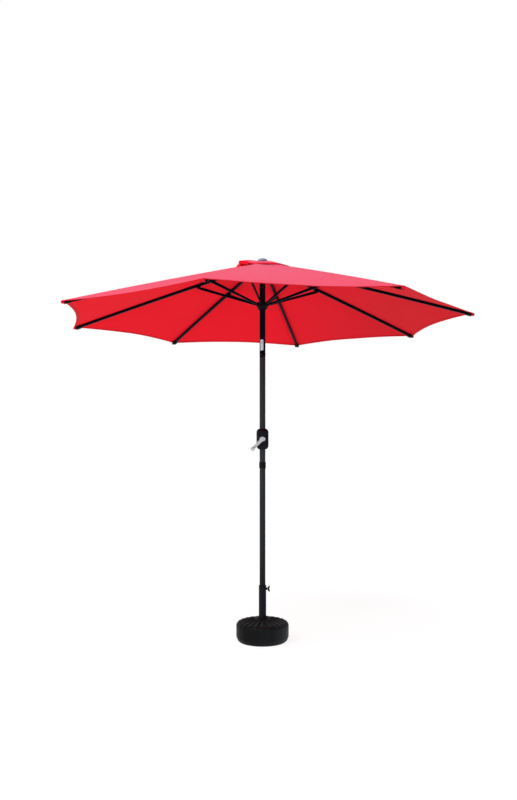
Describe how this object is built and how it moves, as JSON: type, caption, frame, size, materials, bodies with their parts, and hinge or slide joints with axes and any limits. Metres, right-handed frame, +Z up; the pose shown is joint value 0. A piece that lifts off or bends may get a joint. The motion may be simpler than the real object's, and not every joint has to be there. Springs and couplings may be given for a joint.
{
  "type": "patio umbrella with base",
  "caption": "Market umbrella with an octagonal red vented canopy, crank winder, tilting upper pole and a round water-filled base with a clamp-screw sleeve.",
  "frame": {"origin": "centre of the base's flat underside, on the ground", "axes": "+Z up along the pole; -Y towards the side with the crank and the tilt button; +X towards the clamp knob, which is on the right as seen from the crank side"},
  "size_m": [2.5776, 2.5776, 2.476],
  "materials": {
    "black_plastic": "matte",
    "black_steel": "satin",
    "charcoal_steel": "satin",
    "silver_metal": "satin",
    "grey_blue_plastic": "satin",
    "red_fabric": "matte",
    "water": "gloss",
    "cord": "matte"
  },
  "bodies": {
    "base": {"base_shell": "black_plastic", "water_fill": "water", "sleeve_tube": "black_steel", "sleeve_flange": "black_plastic"},
    "cap": {"fill_cap": "black_plastic"},
    "adaptor": {"sleeve_adaptor": "black_plastic"},
    "clamp_slider": {"clamp_washer": "silver_metal"},
    "clamp": {"clamp_screw": "silver_metal", "clamp_knob": "black_plastic"},
    "pole_low": {"lower_pole": "charcoal_steel", "pole_foot": "black_plastic", "joint_collar": "black_plastic"},
    "pole_mid": {"middle_pole": "charcoal_steel", "pole_spigot": "silver_metal", "housing_front": "black_plastic", "housing_back": "black_plastic", "tilt_yoke": "black_steel", "tilt_pin": "silver_metal"},
    "crank": {"crank_spool": "silver_metal", "crank_arm": "silver_metal"},
    "knob": {"crank_knob": "silver_metal"},
    "head": {"upper_pole": "black_steel", "tilt_tongue": "black_steel", "tilt_plate": "silver_metal", "top_hub": "black_plastic", "vent_spacer": "black_plastic", "finial": "grey_blue_plastic", "canopy": "red_fabric", "vent_canopy": "red_fabric", "lift_cord": "cord"},
    "button": {"tilt_button": "silver_metal"},
    "pulley": {"hub_pulley": "silver_metal"},
    "slider": {"runner": "black_plastic"},
    "rib1": {"rib_1": "black_steel", "rib_tip_1": "black_plastic"},
    "strut1": {"strut_1": "black_steel"},
    "rib2": {"rib_2": "black_steel", "rib_tip_2": "black_plastic"},
    "strut2": {"strut_2": "black_steel"},
    "rib3": {"rib_3": "black_steel", "rib_tip_3": "black_plastic"},
    "strut3": {"strut_3": "black_steel"},
    "rib4": {"rib_4": "black_steel", "rib_tip_4": "black_plastic"},
    "strut4": {"strut_4": "black_steel"},
    "rib5": {"rib_5": "black_steel", "rib_tip_5": "black_plastic"},
    "strut5": {"strut_5": "black_steel"},
    "rib6": {"rib_6": "black_steel", "rib_tip_6": "black_plastic"},
    "strut6": {"strut_6": "black_steel"},
    "rib7": {"rib_7": "black_steel", "rib_tip_7": "black_plastic"},
    "strut7": {"strut_7": "black_steel"},
    "rib8": {"rib_8": "black_steel", "rib_tip_8": "black_plastic"},
    "strut8": {"strut_8": "black_steel"}
  },
  "joints": [
    {"name": "pole_lift", "type": "slide", "parent": "base", "child": "adaptor", "axis": [0, 0, 1], "range_m": [0, 0.3]},
    {"name": "pole_turn", "type": "hinge", "parent": "adaptor", "child": "pole_low", "pos_m": [0, 0, 0.02], "axis": [0, 0, 1], "continuous": true},
    {"name": "clamp_slide", "type": "slide", "parent": "base", "child": "clamp_slider", "axis": [1, 0, 0], "range_m": [0, 0.005]},
    {"name": "clamp_turn", "type": "hinge", "parent": "clamp_slider", "child": "clamp", "pos_m": [0, 0, 0.337], "axis": [1, 0, 0], "range_deg": [0, 1440]},
    {"name": "cap_lift", "type": "slide", "parent": "base", "child": "cap", "axis": [0, 0, 1], "range_m": [0, 0.04]},
    {"name": "section_lift", "type": "slide", "parent": "pole_low", "child": "pole_mid", "axis": [0, 0, 1], "range_m": [0, 0.1]},
    {"name": "tilt", "type": "hinge", "parent": "pole_mid", "child": "head", "pos_m": [0, 0, 1.856], "axis": [1, 0, 0], "range_deg": [-35, 0]},
    {"name": "button_push", "type": "slide", "parent": "head", "child": "button", "axis": [0.1392, 0.9903, 0], "range_m": [0, 0.0025], "stiffness_N_per_m": 400},
    {"name": "fold", "type": "hinge", "parent": "head", "child": "rib1", "pos_m": [-0.00692, -0.03124, 2.43], "axis": [0.9764, -0.2161, 0], "range_deg": [0, 68], "deforming": ["canopy", "vent_canopy", "lift_cord"]},
    {"name": "rib_fold_2", "type": "hinge", "parent": "head", "child": "rib2", "pos_m": [0.0172, -0.02698, 2.43], "axis": [0.8432, 0.5376, 0], "range_deg": [0, 68]},
    {"name": "rib_fold_3", "type": "hinge", "parent": "head", "child": "rib3", "pos_m": [0.03124, -0.00692, 2.43], "axis": [0.2161, 0.9764, 0], "range_deg": [0, 68]},
    {"name": "rib_fold_4", "type": "hinge", "parent": "head", "child": "rib4", "pos_m": [0.02698, 0.0172, 2.43], "axis": [-0.5376, 0.8432, 0], "range_deg": [0, 68]},
    {"name": "rib_fold_5", "type": "hinge", "parent": "head", "child": "rib5", "pos_m": [0.00692, 0.03124, 2.43], "axis": [-0.9764, 0.2161, 0], "range_deg": [0, 68]},
    {"name": "rib_fold_6", "type": "hinge", "parent": "head", "child": "rib6", "pos_m": [-0.0172, 0.02698, 2.43], "axis": [-0.8432, -0.5376, 0], "range_deg": [0, 68]},
    {"name": "rib_fold_7", "type": "hinge", "parent": "head", "child": "rib7", "pos_m": [-0.03124, 0.00692, 2.43], "axis": [-0.2161, -0.9764, 0], "range_deg": [0, 68]},
    {"name": "rib_fold_8", "type": "hinge", "parent": "head", "child": "rib8", "pos_m": [-0.02698, -0.0172, 2.43], "axis": [0.5376, -0.8432, 0], "range_deg": [0, 68]},
    {"name": "strut_fold_1", "type": "hinge", "parent": "rib1", "child": "strut1", "pos_m": [-0.09379, -0.42374, 2.302], "axis": [0.9764, -0.2161, 0], "range_deg": [-136, 0]},
    {"name": "strut_fold_2", "type": "hinge", "parent": "rib2", "child": "strut2", "pos_m": [0.23332, -0.36595, 2.302], "axis": [0.8432, 0.5376, 0], "range_deg": [-136, 0]},
    {"name": "strut_fold_3", "type": "hinge", "parent": "rib3", "child": "strut3", "pos_m": [0.42374, -0.09379, 2.302], "axis": [0.2161, 0.9764, 0], "range_deg": [-136, 0]},
    {"name": "strut_fold_4", "type": "hinge", "parent": "rib4", "child": "strut4", "pos_m": [0.36595, 0.23332, 2.302], "axis": [-0.5376, 0.8432, 0], "range_deg": [-136, 0]},
    {"name": "strut_fold_5", "type": "hinge", "parent": "rib5", "child": "strut5", "pos_m": [0.09379, 0.42374, 2.302], "axis": [-0.9764, 0.2161, 0], "range_deg": [-136, 0]},
    {"name": "strut_fold_6", "type": "hinge", "parent": "rib6", "child": "strut6", "pos_m": [-0.23332, 0.36595, 2.302], "axis": [-0.8432, -0.5376, 0], "range_deg": [-136, 0]},
    {"name": "strut_fold_7", "type": "hinge", "parent": "rib7", "child": "strut7", "pos_m": [-0.42374, 0.09379, 2.302], "axis": [-0.2161, -0.9764, 0], "range_deg": [-136, 0]},
    {"name": "strut_fold_8", "type": "hinge", "parent": "rib8", "child": "strut8", "pos_m": [-0.36595, -0.23332, 2.302], "axis": [0.5376, -0.8432, 0], "range_deg": [-136, 0]},
    {"name": "runner_level", "type": "hinge", "parent": "strut1", "child": "slider", "pos_m": [-0.00692, -0.03124, 2.174], "axis": [0.9764, -0.2161, 0], "range_deg": [0, 68]},
    {"name": "crank_turn", "type": "hinge", "parent": "pole_mid", "child": "crank", "pos_m": [0, 0, 1.306], "axis": [0, -1, 0], "range_deg": [0, 3459]},
    {"name": "knob_spin", "type": "hinge", "parent": "crank", "child": "knob", "pos_m": [-0.06293, -0.07, 1.24307], "axis": [0, -1, 0], "continuous": true},
    {"name": "pulley_turn", "type": "hinge", "parent": "head", "child": "pulley", "pos_m": [0.00244, -0.01379, 2.4205], "axis": [0.9847, 0.174, 0], "range_deg": [0, 3322]}
  ],
  "couplings": [
    {"joint": "clamp_slide", "follows": "clamp_turn", "m_per_rad": 0.00019894},
    {"joint": "rib_fold_2", "follows": "fold", "ratio": 1},
    {"joint": "rib_fold_3", "follows": "fold", "ratio": 1},
    {"joint": "rib_fold_4", "follows": "fold", "ratio": 1},
    {"joint": "rib_fold_5", "follows": "fold", "ratio": 1},
    {"joint": "rib_fold_6", "follows": "fold", "ratio": 1},
    {"joint": "rib_fold_7", "follows": "fold", "ratio": 1},
    {"joint": "rib_fold_8", "follows": "fold", "ratio": 1},
    {"joint": "strut_fold_1", "follows": "fold", "ratio": -2},
    {"joint": "strut_fold_2", "follows": "fold", "ratio": -2},
    {"joint": "strut_fold_3", "follows": "fold", "ratio": -2},
    {"joint": "strut_fold_4", "follows": "fold", "ratio": -2},
    {"joint": "strut_fold_5", "follows": "fold", "ratio": -2},
    {"joint": "strut_fold_6", "follows": "fold", "ratio": -2},
    {"joint": "strut_fold_7", "follows": "fold", "ratio": -2},
    {"joint": "strut_fold_8", "follows": "fold", "ratio": -2},
    {"joint": "runner_level", "follows": "fold", "ratio": 1},
    {"joint": "crank_turn", "follows": "fold", "ratio": 50.847},
    {"joint": "pulley_turn", "follows": "fold", "ratio": 48.833}
  ]
}
